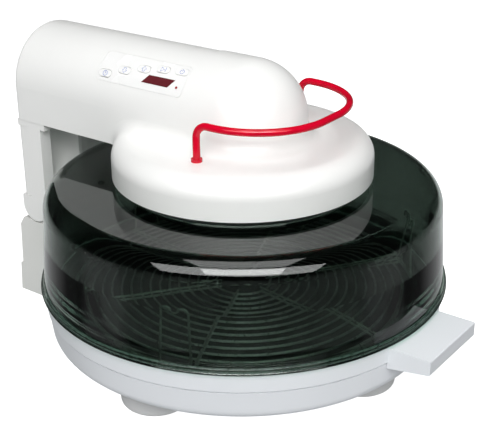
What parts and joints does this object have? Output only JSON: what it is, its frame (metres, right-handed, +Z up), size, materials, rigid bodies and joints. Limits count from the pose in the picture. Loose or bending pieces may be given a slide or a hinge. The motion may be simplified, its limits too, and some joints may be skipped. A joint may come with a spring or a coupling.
{
  "type": "countertop food dehydrator oven",
  "caption": "Round countertop convection oven and food dryer: smoked dome on a white bowl, wire rack inside, and a power head with fan and heater on a rear tilt hinge.",
  "frame": {"origin": "middle of the footprint, at the level of the surface that the feet stand on; the axis of the dome is at y = -0.016", "axes": "+Z up, -Y towards the front carrying tab, +Y towards the stand and hinge, X along the hinge pin"},
  "size_m": [0.3499, 0.438, 0.261],
  "materials": {
    "shell_white": "smooth moulded white plastic with a soft gloss",
    "bowl_white": "cool white moulded plastic",
    "stand_white": "white moulded plastic with a fine grain",
    "foot_grey": "light grey soft plastic",
    "smoked_clear": "smoke-tinted clear plastic with polished faces",
    "dark_enamel": "black enamel with fine speckle",
    "chrome_wire": "bright plated wire",
    "red_lacquer": "glossy red coating on bent wire",
    "neck_black": "black heat-proof plastic",
    "guard_steel": "pressed steel",
    "shield_aluminium": "plain aluminium sheet",
    "coil_steel": "steel tube darkened by heat",
    "ceramic_white": "white ceramic",
    "hinge_steel": "ground steel",
    "screw_steel": "zinc-plated steel",
    "bush_plastic": "natural acetal",
    "black_rubber": "black rubber",
    "overlay_white": "printed white film",
    "key_white": "white key caps with printed marks",
    "window_red": "dark red see-through plastic",
    "lamp_red": "red lamp lens",
    "board_green": "green circuit board",
    "module_black": "black moulded plastic",
    "stack_steel": "stacked steel sheets",
    "winding_copper": "enamelled copper wire",
    "bearing_bronze": "sintered bronze"
  },
  "bodies": {
    "base": {"base_housing": "bowl_white", "feet": "foot_grey", "foot_screws": "screw_steel", "dome": "smoked_clear", "drip_pan": "dark_enamel", "wire_rack": "chrome_wire", "rack_uprights": "chrome_wire", "rack_feet": "chrome_wire", "stand_front": "stand_white", "stand_back": "stand_white", "stand_bottom": "stand_white", "stand_pads": "black_rubber", "stand_screws": "screw_steel", "cord_inlet": "black_rubber", "hinge_bracket": "hinge_steel", "hinge_bushes": "bush_plastic", "hinge_pin": "hinge_steel"},
    "head": {"pin_cap": "shell_white", "leg_channel": "shell_white", "leg_cover": "shell_white", "lever_pin": "hinge_steel", "lever_spring": "hinge_steel", "tray_screws": "screw_steel", "head_housing": "shell_white", "control_overlay": "overlay_white", "display_window": "window_red", "status_lamp": "lamp_red", "control_board": "board_green", "display_module": "module_black", "key_switches": "module_black", "board_screws": "screw_steel", "lift_handle": "red_lacquer", "handle_ferrules": "red_lacquer", "handle_nuts": "screw_steel", "neck_ring": "neck_black", "heat_shield": "shield_aluminium", "shield_screws": "screw_steel", "fan_guard": "guard_steel", "heating_coil": "coil_steel", "coil_terminals": "ceramic_white", "coil_brackets": "guard_steel", "temperature_probe": "hinge_steel", "motor_stack": "stack_steel", "motor_winding": "winding_copper", "motor_lower_bracket": "guard_steel", "motor_upper_bracket": "guard_steel", "motor_bearings": "bearing_bronze", "motor_bolts": "screw_steel"},
    "fan": {"motor_rotor": "stack_steel", "motor_shaft": "hinge_steel", "impeller": "shield_aluminium", "impeller_nut": "screw_steel", "cooling_fan": "module_black"},
    "lever": {"thumb_lever": "shell_white"},
    "key_1": {"key_1": "key_white"},
    "key_2": {"key_2": "key_white"},
    "key_3": {"key_3": "key_white"},
    "key_4": {"key_4": "key_white"},
    "key_5": {"key_5": "key_white"}
  },
  "joints": [
    {"name": "head_tilt", "type": "hinge", "parent": "base", "child": "head", "pos_m": [0, 0.1895, 0.096], "axis": [-1, 0, 0], "range_deg": [0, 80]},
    {"name": "fan_spin", "type": "hinge", "parent": "head", "child": "fan", "pos_m": [0, -0.016, 0.18], "axis": [0, 0, 1], "continuous": true},
    {"name": "lever_press", "type": "hinge", "parent": "head", "child": "lever", "pos_m": [0, 0.1985, 0.11], "axis": [1, 0, 0], "range_deg": [0, 8], "stiffness_Nm_per_rad": 0.6, "springref_deg": -5.73},
    {"name": "key_1_press", "type": "slide", "parent": "head", "child": "key_1", "axis": [0.6211, 0, -0.7837], "range_m": [0, 0.0008], "stiffness_N_per_m": 400, "springref_m": -0.0005},
    {"name": "key_2_press", "type": "slide", "parent": "head", "child": "key_2", "axis": [0.6422, 0, -0.7665], "range_m": [0, 0.0008], "stiffness_N_per_m": 400, "springref_m": -0.0005},
    {"name": "key_3_press", "type": "slide", "parent": "head", "child": "key_3", "axis": [0.69, 0, -0.7238], "range_m": [0, 0.0008], "stiffness_N_per_m": 400, "springref_m": -0.0005},
    {"name": "key_4_press", "type": "slide", "parent": "head", "child": "key_4", "axis": [0.7551, 0, -0.6556], "range_m": [0, 0.0008], "stiffness_N_per_m": 400, "springref_m": -0.0005},
    {"name": "key_5_press", "type": "slide", "parent": "head", "child": "key_5", "axis": [0.829, 0, -0.5592], "range_m": [0, 0.0008], "stiffness_N_per_m": 400, "springref_m": -0.0005}
  ]
}
